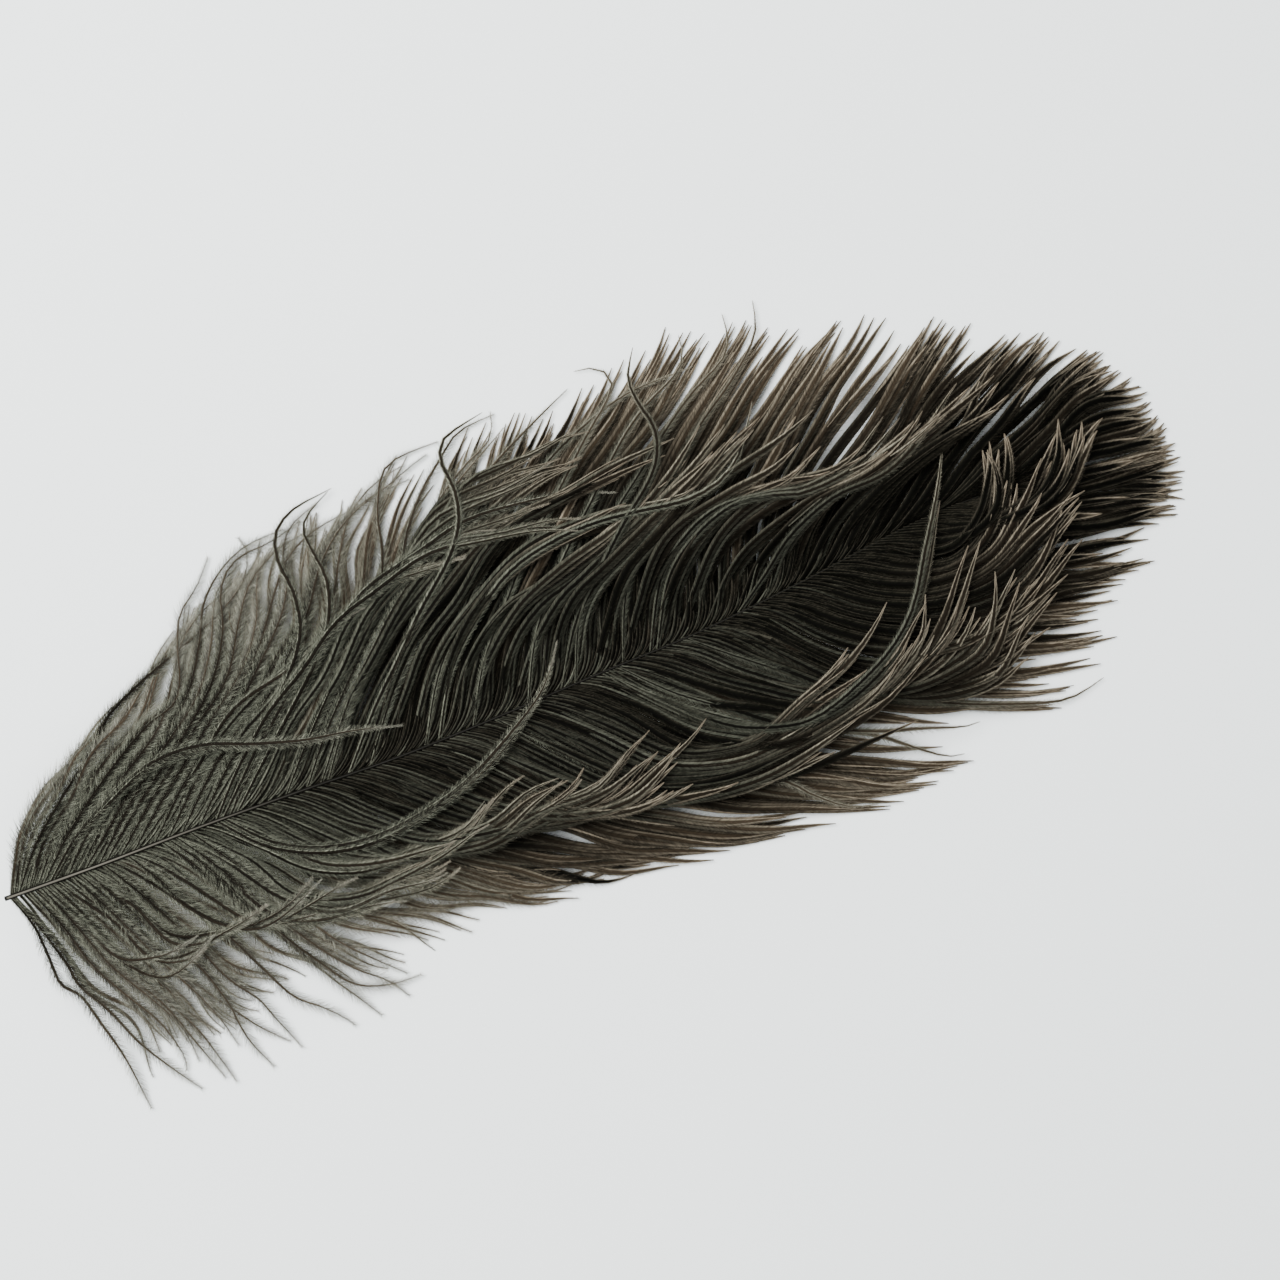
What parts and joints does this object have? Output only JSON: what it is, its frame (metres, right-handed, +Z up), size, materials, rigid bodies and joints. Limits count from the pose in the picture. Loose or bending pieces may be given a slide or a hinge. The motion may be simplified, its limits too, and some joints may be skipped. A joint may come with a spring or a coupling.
{
  "type": "ostrich feather",
  "caption": "Soft plume lying flat: a slim tapered shaft with a loose vane of drooping barb locks on each side, their free tips on the surface, stray locks curling over the vanes.",
  "frame": {"origin": "on the surface that the plume lies on, under the middle of its bounding box", "axes": "+X along the shaft from the cut end to the tip, +Y across the shaft to the vane that sweeps wider, +Z up from the surface"},
  "size_m": [0.3407, 0.1409, 0.015],
  "materials": {
    "barb": "soft matt dark grey-brown barbs with paler edges and tips"
  },
  "bodies": {
    "root": {"feather": "barb"}
  },
  "joints": []
}
